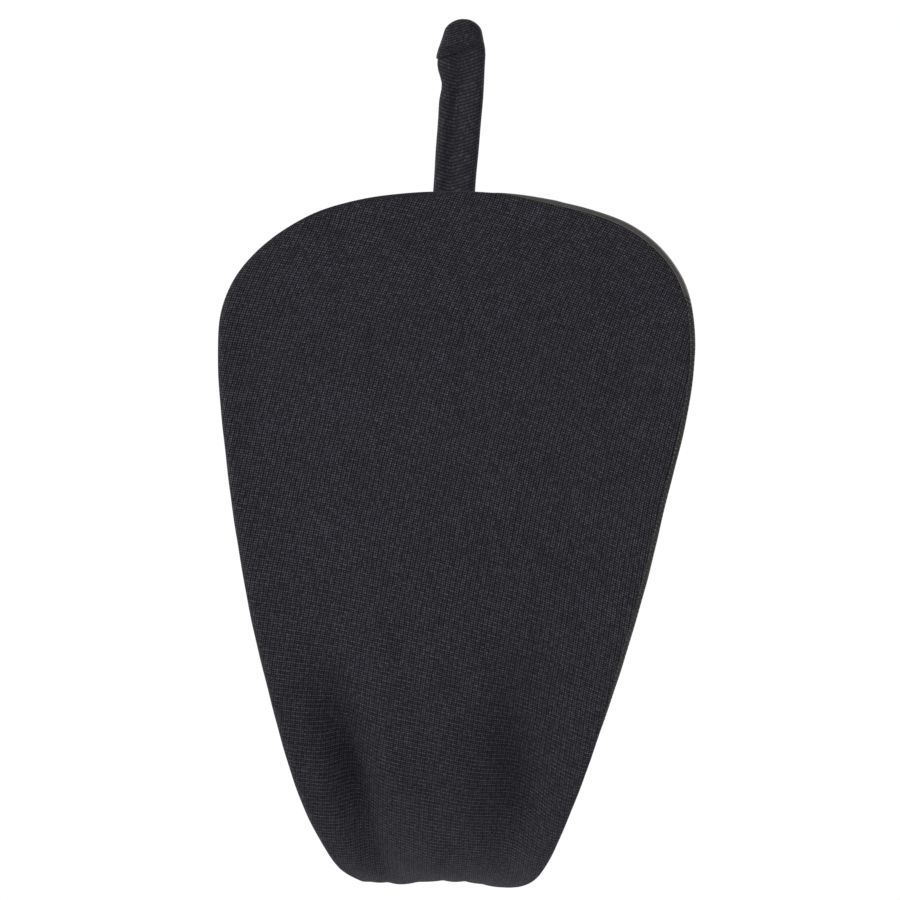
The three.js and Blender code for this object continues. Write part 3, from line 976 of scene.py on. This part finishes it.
def sleeveMesh(name, points, finish):
    # an open tube with a wall, over the wire
    _, normals, binormals = turningFrames(points, 0.35)
    sides = wires["sleeveSides"]
    radius = wires["sleeveRadius"] / 1000
    turn = np.linspace(0, 2 * math.pi, sides, endpoint=False)[:, None]
    rings = []
    for centre, normal, across in zip(points, normals, binormals):
        rings.append(centre + radius * (np.cos(turn) * normal + np.sin(turn) * across))
    piece = makePiece(name, np.concatenate(rings), gridFaces(len(rings), sides, wrap=True), None, finish)
    return thicken(piece, wires["sleeveWall"])


sleeveLeft = sleeveMesh("sleeveLeft", rimPoints(-splitRun, -shoulder, wires["sleeveStep"]), sleeveTube)
sleeveRight = sleeveMesh("sleeveRight", rimPoints(shoulder, splitRun, wires["sleeveStep"]), sleeveTube)


def strapLine(offset):
    s = np.linspace(strapFoot, layout["tipAt"] - wires["sleeveStop"], wires["rungs"])
    return bend(columnsOf(strapBow(s) + offset, s, np.zeros_like(s)))


sleeveStrapLeft = sleeveMesh("sleeveStrapLeft", strapLine(-wires["strapHalf"]), sleeveTube)
sleeveStrapRight = sleeveMesh("sleeveStrapRight", strapLine(wires["strapHalf"]), sleeveTube)
print("wires sleeved")

# the strap's knit cover and the folded cap at its tip

strap = {
    "from": 248.6,
    "underCap": 1.6,
    "tuck": 0.6,
    "step": 1.6,
    "around": 72,
    "halfWidth": 5.45,
    "lobeRadius": 2.25,
    "waist": 1.3,
    "valleyAt": -1.25,  # the cover's fold runs left of the middle
    "valleyWaist": 1.15,
    "thickness": 0.45,
}
tip = {
    "endAt": 442.3,
    "taperFrom": 434,
    "taper": 0.042,
    "crown": 3.1,
    "crownThrough": 6.6,
    "lipLeft": 431.7,
    "lipRight": 436.5,
    "thickness": 0.4,
    "lift": 0.26,
}


def domeAt(s, crown):
    # 1 below the crown, closing in a round end at the tip
    return np.sqrt(np.clip(1 - np.clip((s - (tip["endAt"] - crown)) / crown, 0, 1) ** 2, 0, 1))


def taperAt(s):
    return 1 - tip["taper"] * np.maximum(s - tip["taperFrom"], 0)


def capLip(angle):
    # the cap's folded edge climbs from the left side to the right
    share = (1 + np.cos(angle)) / 2
    return tip["lipLeft"] + (tip["lipRight"] - tip["lipLeft"]) * share + 0.45 * np.sin(math.pi * share)


def sectionAt(angle, s, grow):
    # half thickness and width of the covered strap, for any angle round it and any station
    width = strap["halfWidth"] + grow + 0.06 * np.sin(s * 0.047) + 0.12 * ease(400, 420, s)
    width = width - 0.16 * ease(262, 285, s) * (1 - ease(330, 380, s))
    x = width * np.cos(angle)
    inner = np.sin(angle) > 0
    lobe = strap["lobeRadius"] + grow
    centre = width - lobe
    beyond = np.clip(np.abs(x) - centre, 0, lobe)
    edge = np.sqrt(np.maximum(lobe ** 2 - beyond ** 2, 0))
    valley = strap["valleyAt"] + 0.25 * np.sin(s * 0.06 + 0.5)
    dip = np.where(inner, valley, 0.0)
    waist = np.where(inner, strap["valleyWaist"], strap["waist"]) + grow
    closing = ease(424, 432, s)
    waist = waist + (lobe - waist) * 0.8 * closing
    hollow = swell(0, np.where(inner, 2.2, 2.3), x - dip)
    depth = edge - (lobe - waist) * hollow * edge / lobe
    n = np.where(inner, depth, -depth)
    n = np.where(np.abs(np.sin(angle)) < 1e-9, 0.0, n)
    left = np.maximum(-np.cos(angle), 0)
    bulge = 1.05 * ease(425, 430.5, s) * (1 - 0.5 * ease(431, 435, s))
    x = x + left * (0.5 * swell(424.3, 2.6, s) - bulge)
    return x, n


def strapWrinkle(angle, s):
    # small cross folds where the cover bends, and drags beside the valley
    fold = 0.10 * np.sin(s * 1.15 + 1.3 * np.sin(angle)) * swell(292, 26, s)
    fold = fold + 0.07 * np.sin(s * 0.42 + 2.0 * angle)
    fold = fold + 0.14 * swell(424, 3.2, s - 1.4 * np.cos(angle)) * np.maximum(-np.cos(angle), 0)
    return fold


def buildStrapCover():
    count = strap["around"]
    angle = np.linspace(0, 2 * math.pi, count + 1)
    lips = capLip(angle)
    ends = lips + strap["underCap"]
    rows, weaves, paintedShading = [], [], []
    steps = int((tip["lipRight"] - strap["from"]) / strap["step"])
    for share in np.linspace(0, 1, steps):
        s = strap["from"] + (ends - strap["from"]) * share
        x, n = sectionAt(angle, s, 0.0)
        x = x * taperAt(s)
        wrinkle = strapWrinkle(angle, s)
        size = np.maximum(np.hypot(x, n * 2.0), 0.5)
        x = x + wrinkle * x / size * 0.5
        n = n + wrinkle * np.sign(n)
        n = n * (0.82 + 0.18 * ease(248, 254, s))
        tuck = strap["tuck"] * ease(0.2, 1.4, s - lips)  # the end draws in under the cap
        size = np.maximum(np.hypot(x, n), 1)
        x = x - tuck * x / size
        n = n - tuck * n / size
        rows.append(columnsOf(x + strapBow(s), s, n))
        lengths = np.concatenate([[0], np.cumsum(np.hypot(np.diff(x), np.diff(n)))])
        fromValley = x - strap["valleyAt"]
        slope = np.where(fromValley < 0, grain["strapV"][0], grain["strapV"][1])
        weaves.append(columnsOf(lengths, s - slope * np.abs(fromValley)))
        # painted shade just under the cap's lip and along the cover's valley
        paintedShading.append(1.06 - 0.5 * swell(-0.7, 0.9, s - lips) - 0.16 * swell(0, 2.2, fromValley))
    flat = np.concatenate(rows)
    faces = gridFaces(len(rows), count + 1, flip=True)
    piece = makePiece("strapCover", bend(flat), faces, np.concatenate(weaves), strapKnit,
                      marks={"stretch": np.concatenate(paintedShading)})
    weld(piece, 2e-6)
    return thicken(piece, strap["thickness"])


def buildTipCap():
    count = 80
    angle = np.linspace(0, 2 * math.pi, count + 1)
    lips = capLip(angle)
    left, right = np.maximum(-np.cos(angle), 0), np.maximum(np.cos(angle), 0)
    rows, weaves, paintedShading = [], [], []
    steps = 36
    for index in range(steps):
        s = lips + (tip["endAt"] - lips) * math.sin(index / (steps - 1) * math.pi / 2)
        lift = tip["lift"] * (1.8 - 1.0 * left ** 2 - 1.2 * right ** 2)
        rolled = lift * ease(-0.6, 0.6, s - lips) + 0.05
        x, n = sectionAt(angle, np.minimum(s, 436), rolled)
        x = x * domeAt(s, tip["crown"]) * taperAt(s)
        n = n * domeAt(s, tip["crownThrough"])
        n = n + 0.15 * np.sign(n) * np.sin(1.5 * (s - lips) + 0.5 * x) * domeAt(s, 5) * ease(0, 1.5, s - lips)
        rows.append(columnsOf(x, s, n))
        around = np.cumsum(np.concatenate([[0], np.hypot(np.diff(x), np.diff(n))]))
        weaves.append(columnsOf(around, s - 0.35 * x))
        # painted shade in the crease at the cap's folded edge and along the ripples next to it
        drag = np.maximum(np.sin(1.5 * (s - lips) + 0.5 * x), 0) * (1 - ease(4, 7, s - lips))
        paintedShading.append(1.12 - 0.45 * swell(0, 0.5, s - lips) - 0.25 * drag)
    flat = np.concatenate(rows)
    faces = gridFaces(len(rows), count + 1, flip=True)
    piece = makePiece("tipCap", bend(flat), faces, np.concatenate(weaves), smoothKnit,
                      marks={"stretch": np.concatenate(paintedShading)})
    weld(piece, 3e-6)
    return thicken(piece, tip["thickness"])


pad = {"from": 431.5, "wideTo": 436, "inset": 0.75, "short": 0.9, "around": 40, "rows": 16}


def buildTipPad():
    # the soft pad that fills the cap, closed at both ends
    count = pad["around"]
    angle = np.linspace(0, 2 * math.pi, count, endpoint=False)
    rows = []
    for share in np.sin(np.linspace(0, math.pi / 2, pad["rows"])):
        s = pad["from"] + (tip["endAt"] - pad["short"] - pad["from"]) * share
        x, n = sectionAt(angle, np.full(count, min(s, pad["wideTo"])), -pad["inset"])
        x = x * domeAt(s + pad["short"], tip["crown"]) * taperAt(s)
        n = n * domeAt(s + pad["short"], tip["crownThrough"])
        rows.append(columnsOf(x, np.full(count, s), n))
    x, n = rows[0][:, 0], rows[0][:, 2]
    for share, back in ((0.8, 0.5), (0.02, 0.6)):
        rows.insert(0, columnsOf(x * share, np.full(count, pad["from"] - back), n * share))
    faces = gridFaces(len(rows), count, wrap=True, flip=True)
    piece = makePiece("tipPad", bend(np.concatenate(rows)), faces, None, softRubber)
    weld(piece, 1e-4)
    return piece


crimp = {"from": 8.0, "to": 16.0, "rows": 33, "around": 18, "radius": 0.85, "pinch": 0.06, "endDraw": 0.08,
         "pinchAt": (9.8, 12, 14.2), "pinchReach": 0.6, "wall": 0.38}


def buildFerrule():
    # a crimped tube over the butted wire ends, pinched in three places
    runs = np.linspace(crimp["from"], crimp["to"], crimp["rows"])
    x, s, outX, outS = rimAt(runs)
    count = crimp["around"]
    turn = np.linspace(0, 2 * math.pi, count, endpoint=False)
    rows = []
    for index, run in enumerate(runs):
        pinched = sum(math.exp(-((run - at) / crimp["pinchReach"]) ** 2) for at in crimp["pinchAt"])
        radius = crimp["radius"] - crimp["pinch"] * pinched
        if index in (0, len(runs) - 1):
            radius -= crimp["endDraw"]
        out = radius * np.cos(turn)
        places = [x[index] + outX[index] * out, s[index] + outS[index] * out, radius * np.sin(turn)]
        rows.append(np.stack(places, axis=-1))
    faces = gridFaces(len(rows), count, wrap=True)
    piece = makePiece("wireFerrule", bend(np.concatenate(rows)), faces, None, crimpedBrass)
    return thicken(piece, crimp["wall"])


strapCover = buildStrapCover()
tipCap = buildTipCap()
tipPad = buildTipPad()
wireFerrule = buildFerrule()
print("strap cover and tip cap made")

# stitches, set along paths by Geometry Nodes


def stitchTree(finish):
    tree = bpy.data.node_groups.new("stitchRow", "GeometryNodeTree")
    face = tree.interface
    face.new_socket("Path", in_out="INPUT", socket_type="NodeSocketGeometry")
    sizes = {
        "Pitch": 0.0012,
        "Stitch length": 0.0018,
        "Thread radius": 0.00017,
        "Arch": 0.0005,
        "Slant": 0.9,
        "Wander": 0.08,
    }
    for key, value in sizes.items():
        face.new_socket(key, in_out="INPUT", socket_type="NodeSocketFloat").default_value = value
    face.new_socket("Seed", in_out="INPUT", socket_type="NodeSocketInt").default_value = 4
    face.new_socket("Stitches", in_out="OUTPUT", socket_type="NodeSocketGeometry")
    nodes, links = tree.nodes, tree.links
    given = nodes.new("NodeGroupInput").outputs

    def put(kind, spot, feeds, **settings):
        node = nodes.new(kind)
        node.location = spot
        for key, value in settings.items():
            setattr(node, key, value)
        for key, value in feeds.items():
            if isinstance(value, bpy.types.NodeSocket):
                links.new(value, node.inputs[key])
            else:
                node.inputs[key].default_value = value
        return node

    def reckon(spot, operation, first, second):
        return put("ShaderNodeMath", spot, {0: first, 1: second}, operation=operation).outputs[0]

    def vector(spot, feeds):
        return put("ShaderNodeCombineXYZ", spot, feeds).outputs[0]

    def shape(kind, spot, feeds, **settings):
        return put(kind, spot, feeds, **settings).outputs[0]

    curve = shape("GeometryNodeMeshToCurve", (-900, 0), {0: given["Path"]})
    spaced = {"Curve": curve, "Length": given["Pitch"]}
    spaced = shape("GeometryNodeResampleCurve", (-700, 0), spaced, mode="LENGTH")

    # one stitch: a short arched thread
    half = reckon((-900, -300), "MULTIPLY", given["Stitch length"], 0.5)
    back = reckon((-900, -450), "MULTIPLY", given["Stitch length"], -0.5)
    ends = {
        "Start": vector((-700, -300), {0: back}),
        "Middle": vector((-700, -450), {2: given["Arch"]}),
        "End": vector((-700, -600), {0: half}),
    }
    bow = shape("GeometryNodeCurveQuadraticBezier", (-500, -400), {"Resolution": 5, **ends})
    ring = {"Resolution": 6, "Radius": given["Thread radius"]}
    ring = shape("GeometryNodeCurvePrimitiveCircle", (-500, -650), ring)
    thread = {"Fill Caps": True, "Curve": bow, "Profile Curve": ring}
    thread = shape("GeometryNodeCurveToMesh", (-300, -450), thread)

    # turned to lie on the cloth
    up = shape("GeometryNodeInputNamedAttribute", (-700, 250), {"Name": "up"}, data_type="FLOAT_VECTOR")
    tangent = shape("GeometryNodeInputTangent", (-700, 400), {})
    axes = shape("FunctionNodeAxesToRotation", (-500, 300), {0: up, 1: tangent}, primary_axis="Z",
                 secondary_axis="X")
    sown = {"Points": spaced, "Instance": thread, "Rotation": axes}
    sown = shape("GeometryNodeInstanceOnPoints", (-200, 0), sown)
    chance = put("FunctionNodeRandomValue", (-400, 500), {"Seed": given["Seed"]}, data_type="FLOAT")
    limits = [socket for socket in chance.inputs if socket.type == "VALUE"]
    for spot, operation, limit in (((-600, 600), "SUBTRACT", limits[0]), ((-600, 750), "ADD", limits[1])):
        links.new(reckon(spot, operation, given["Slant"], given["Wander"]), limit)
    angle = [socket for socket in chance.outputs if socket.type == "VALUE"][0]
    turned = {"Instances": sown, "Rotation": vector((-100, 400), {2: angle})}
    turned = shape("GeometryNodeRotateInstances", (0, 0), turned)
    real = shape("GeometryNodeRealizeInstances", (200, 0), {0: turned})
    painted = shape("GeometryNodeSetMaterial", (400, 0), {"Material": finish, "Geometry": real})
    put("NodeGroupOutput", (600, 0), {0: painted})
    return tree


stitchRow = stitchTree(spunThread)


def sewPath(name, flat, ups, sizes):
    # a path of flat points with the cloth's outward side at each, turned into a row of stitches
    spots = bend(flat)
    lifted = bend(flat + ups * 0.1)
    faceOut = lifted - spots
    faceOut /= np.linalg.norm(faceOut, axis=1)[:, None]
    mesh = bpy.data.meshes.new(name)
    mesh.from_pydata([tuple(spot) for spot in spots], [(i, i + 1) for i in range(len(spots) - 1)], [])
    up = mesh.attributes.new("up", "FLOAT_VECTOR", "POINT")
    up.data.foreach_set("vector", faceOut.astype(np.float32).ravel())
    piece = bpy.data.objects.new(name, mesh)
    bpy.context.collection.objects.link(piece)
    sewn = piece.modifiers.new("sewn", "NODES")
    sewn.node_group = stitchRow
    for item in stitchRow.interface.items_tree:
        if item.item_type == "SOCKET" and item.in_out == "INPUT" and item.name in sizes:
            sewn[item.identifier] = sizes[item.name]
    settle(piece)
    if not piece.data.materials:
        piece.data.materials.append(spunThread)
    addThreadMap(piece)
    piece.data.polygons.foreach_set("use_smooth", [True] * len(piece.data.polygons))
    return piece


def addThreadMap(piece):
    # the twist runs on the stitch's own directions, from the piece's coordinates in millimetres
    mesh = piece.data
    for old in list(mesh.uv_layers):
        mesh.uv_layers.remove(old)
    spots = np.zeros(len(mesh.vertices) * 3)
    mesh.vertices.foreach_get("co", spots)
    spots = spots.reshape(-1, 3) * 1000
    corners = np.zeros(len(mesh.loops), np.int32)
    mesh.loops.foreach_get("vertex_index", corners)
    weave = columnsOf(spots[:, 0] + 0.6 * spots[:, 1], spots[:, 2])
    mesh.uv_layers.new(name="grain").data.foreach_set("uv", weave[corners].astype(np.float32).ravel())


def stitchSizes(pitch, length, radius, arch, slant, wander, seed):
    return {"Pitch": pitch, "Stitch length": length, "Thread radius": radius, "Arch": arch, "Slant": slant,
            "Wander": wander, "Seed": seed}


edgeStitch = stitchSizes(0.0012, 0.0014, 0.00023, 0.00045, 0.95, 0.06, 11)
innerStitch = stitchSizes(0.0020, 0.0019, 0.00016, 0.0004, 0.0, 0.05, 12)
seamStitch = stitchSizes(0.0016, 0.0020, 0.00017, 0.0005, 0.75, 0.10, 13)
tackStitch = stitchSizes(0.00036, 0.0024, 0.00019, 0.0005, 1.5708, 0.05, 14)


def rollPath(first, last, angle, radius):
    runs = np.linspace(first, last, max(int(abs(last - first)), 8))
    x, s, outX, outS = rimAt(runs)
    turn = math.radians(angle)
    flat = columnsOf(x + outX * radius * math.cos(turn), s + outS * radius * math.cos(turn),
                     np.full_like(x, radius * math.sin(turn)))
    ups = columnsOf(outX * math.cos(turn), outS * math.cos(turn), np.full_like(x, math.sin(turn)))
    return flat, ups


def allowancePath(first, last, inset, lift):
    runs = np.linspace(first, last, max(int(abs(last - first)), 8))
    x, s, outX, outS = rimAt(runs)
    x, s = x - outX * inset, s - outS * inset
    n = liningTop(x, s, np.full_like(x, inset)) + lift
    n = np.minimum(n, 2.0)
    return columnsOf(x, s, n), columnsOf(0 * x, 0 * x, 0 * x + 1)


stripStart, stripStop = runAt(hem["stripFrom"]), runAt(hem["stripTo"] - 22)
rightEdgeStitches = sewPath("rightEdgeStitches", *rollPath(stripStart, stripStop, -50, 1.70), edgeStitch)
hemRow = (3.7, 0.62)  # the inner row's way in from the wire, and its height over the lining
hemRowEnd = runAt(212)
leftEdgeStitches = sewPath("leftEdgeStitches", *allowancePath(-shoulder - 2, -hemRowEnd, *hemRow), innerStitch)
rightInnerStitches = sewPath("rightInnerStitches", *allowancePath(shoulder + 2, hemRowEnd, *hemRow), innerStitch)
topStitches = sewPath("topStitches", *allowancePath(-shoulder + 1.5, shoulder - 1.5, 3.9, 0.62), innerStitch)


def seamPath():
    half = float(rimHalfWidth(layout["gussetAt"])) - 4.2
    x = np.linspace(-half, half, 80)
    s = np.full_like(x, layout["gussetAt"] - 1.0)
    n = liningTop(x, s, insetAt(x, s)) + lining["gussetLift"] + 0.08
    return columnsOf(x, s, n), columnsOf(0 * x, 0 * x, 0 * x + 1)


def tackPath():
    x = np.linspace(-4.4, 4.4, 24)
    s = np.full_like(x, layout["seamAt"])
    n = np.interp(np.abs(x), [0, 2.5, 4.4], [2.45, 2.55, 1.7])
    return columnsOf(x, s, n), columnsOf(0.25 * x, 0 * x, 0 * x + 1)


gussetSeamStitches = sewPath("gussetSeamStitches", *seamPath(), seamStitch)
seamTack = sewPath("seamTack", *tackPath(), tackStitch)
print("stitches sewn")

# pieces on the lower bend and the strap bend keep their places baked in, the rest hang from their body; the CAD
# parts they stand for are hidden

bendStart = spinePoint(layout["bendFlex"][0])
bendEnd = spinePoint(layout["bendFlex"][1])
strapStart = spinePoint(layout["strapFlex"][0])
strapStop = spinePoint(layout["strapFlex"][1])


def place(piece, where, slot, *nodes):
    if where == "lowerBend":
        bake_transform(piece)
    elif where == "strapBend":
        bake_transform(piece)
    else:
        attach(piece, where)
    if nodes:
        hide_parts(*nodes)


place(frontPanel, "lowerBend", "knit", "front_shell", "rear_shell")
place(leftHem, "lowerBend", "knit", "left_hem", "left_hem_rear")
place(rightHem, "lowerBend", "knit", "right_hem", "right_hem_rear")
place(topBinding, "front", "binding", "top_binding")
place(frontLining, "front", "lining", "front_lining")
place(gussetLiner, "lowerBend", "cotton", "gusset_liner", "gusset_liner_rear")
place(wireLeft, "lowerBend", "spring_wire", "wire_left", "wire_bend_left")
place(wireRight, "lowerBend", "spring_wire", "wire_right", "wire_bend_right")
place(wireStrap, "strapBend", "spring_wire", "wire_strap")
place(sleeveLeft, "lowerBend", "sleeve", "sleeve_left", "sleeve_bend_left")
place(sleeveRight, "lowerBend", "sleeve", "sleeve_right", "sleeve_bend_right")
place(sleeveStrapLeft, "strapBend", "sleeve", "sleeve_strap_left")
place(sleeveStrapRight, "strapBend", "sleeve", "sleeve_strap_right")
place(strapCover, "strapBend", "knit", "strap_cover", "strap_cover_lower")
place(tipCap, "strap", "knit", "tip_cap")
place(tipPad, "strap", "tip_pad", "tip_pad")
place(wireFerrule, "front", "ferrule", "wire_ferrule")
place(rightEdgeStitches, "lowerBend", "thread", "right_edge_thread")
place(leftEdgeStitches, "lowerBend", "thread", "left_edge_thread")
place(rightInnerStitches, "lowerBend", "thread")
place(topStitches, "front", "thread")
place(gussetSeamStitches, "front", "thread", "gusset_seam_thread")
place(seamTack, "under_bend", "thread", "seam_tack")

def laySheet(piece):
    # the thickened cloth has two faces, so half of the mesh's area is taken as the sheet's own
    area = sum(polygon.area for polygon in piece.data.polygons) / 2
    return round(area, 5)


panelArea = laySheet(frontPanel)
liningArea = laySheet(frontLining)
gussetArea = laySheet(gussetLiner)
print("pieces placed: panel area", panelArea, "lining", liningArea, "gusset", gussetArea)

# floor, light and camera

studio = {
    "floorAt": -0.22,
    "floorRadius": 1.5,
    "backdrop": 1.02,
    "room": 0.25,
    "key": 17.2,
    "fill": 3.2,
    "rearRight": 16.0,
    "rearLeft": 9.0,
    "cameraDistance": 1.2,
    "lens": 200,
    "roll": 2.5,
    "yaw": 1.2,
}


def buildFloor():
    work = bmesh.new()
    bmesh.ops.create_circle(work, cap_ends=True, cap_tris=False, segments=96, radius=studio["floorRadius"])
    for vert in work.verts:
        vert.co.z = studio["floorAt"]
    mesh = bpy.data.meshes.new("studioFloor")
    work.to_mesh(mesh)
    work.free()
    floor = bpy.data.objects.new("studioFloor", mesh)
    bpy.context.collection.objects.link(floor)
    paint = Shades("paleFloor")
    where = paint.put("ShaderNodeTexCoord").outputs["Object"]
    clouds = paint.noise(where, 3.0, 2.0)
    tone = paint.mix(clouds, (0.90, 0.90, 0.90), (0.93, 0.93, 0.93))
    mesh.materials.append(paint.surface(tone, 0.85, specular=0.2))
    # from underneath the floor is clear, so the object can be looked at from there
    clear = paint.put("ShaderNodeBsdfTransparent")
    sides = paint.put("ShaderNodeMixShader")
    paint.link(paint.put("ShaderNodeNewGeometry").outputs["Backfacing"], sides.inputs[0])
    paint.link(paint.shader.outputs[0], sides.inputs[1])
    paint.link(clear.outputs[0], sides.inputs[2])
    paint.link(sides.outputs[0], paint.output.inputs["Surface"])
    return floor


def addSoftLight(name, place, target, size, power):
    data = bpy.data.lights.new(name, "AREA")
    data.shape = "RECTANGLE"
    data.size = size[0]
    data.size_y = size[1]
    data.energy = power
    light = bpy.data.objects.new(name, data)
    bpy.context.collection.objects.link(light)
    light.location = place
    light.rotation_euler = (Vector(target) - Vector(place)).to_track_quat("-Z", "Y").to_euler()
    return light


def dressWorld(world):
    # a white room to look at, lighting the cloth more softly than it shows
    nodes, links = world.node_tree.nodes, world.node_tree.links
    nodes.clear()
    seen = nodes.new("ShaderNodeBackground")
    seen.inputs["Strength"].default_value = studio["backdrop"]
    lit = nodes.new("ShaderNodeBackground")
    lit.inputs["Strength"].default_value = studio["room"]
    which = nodes.new("ShaderNodeLightPath")
    both = nodes.new("ShaderNodeMixShader")
    output = nodes.new("ShaderNodeOutputWorld")
    for background in (seen, lit):
        background.inputs["Color"].default_value = (1, 1, 1, 1)
    links.new(which.outputs["Is Camera Ray"], both.inputs[0])
    links.new(lit.outputs[0], both.inputs[1])
    links.new(seen.outputs[0], both.inputs[2])
    links.new(both.outputs[0], output.inputs["Surface"])


buildFloor()
scene = bpy.context.scene
world = bpy.data.worlds.new("paleRoom")
scene.world = world
world.use_nodes = True
dressWorld(world)
middle = (0, -0.03, 0.11)
for name, spot, size, power in (
    ("keyLight", (-1.5, -1.2, 0.55), (0.8, 0.9), studio["key"]),
    ("fillLight", (1.2, -1.3, 0.5), (0.9, 0.9), studio["fill"]),
    ("rearRightLight", (1.1, 1.2, 0.95), (0.8, 0.8), studio["rearRight"]),
    ("rearLeftLight", (-1.2, 1.3, 0.35), (0.9, 0.9), studio["rearLeft"]),
):
    addSoftLight(name, spot, middle, size, power)
scene.view_settings.view_transform = "Standard"

cameraData = bpy.data.cameras.new("camera")
cameraData.sensor_width = 36
cameraData.lens = studio["lens"]
cameraData.clip_start = 0.05
cameraData.clip_end = 20
camera = bpy.data.objects.new("camera", cameraData)
bpy.context.collection.objects.link(camera)
lean, turn = math.radians(studio["roll"]), math.radians(studio["yaw"])
level = Vector((math.cos(turn), -math.sin(turn), 0))
back = Vector((-math.sin(turn), -math.cos(turn), 0))
right = level * math.cos(lean) + Vector((0, 0, 1)) * math.sin(lean)
up = Vector((0, 0, 1)) * math.cos(lean) - level * math.sin(lean)
lookAt = Vector((-0.0006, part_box("front_shell")[0][1], (cadBox[0][2] + cadBox[1][2]) / 2 - 0.0002))
camera.matrix_world = Matrix.Translation(lookAt + back * studio["cameraDistance"]) @ Matrix(
    (right, up, back)).transposed().to_4x4()
scene.camera = camera
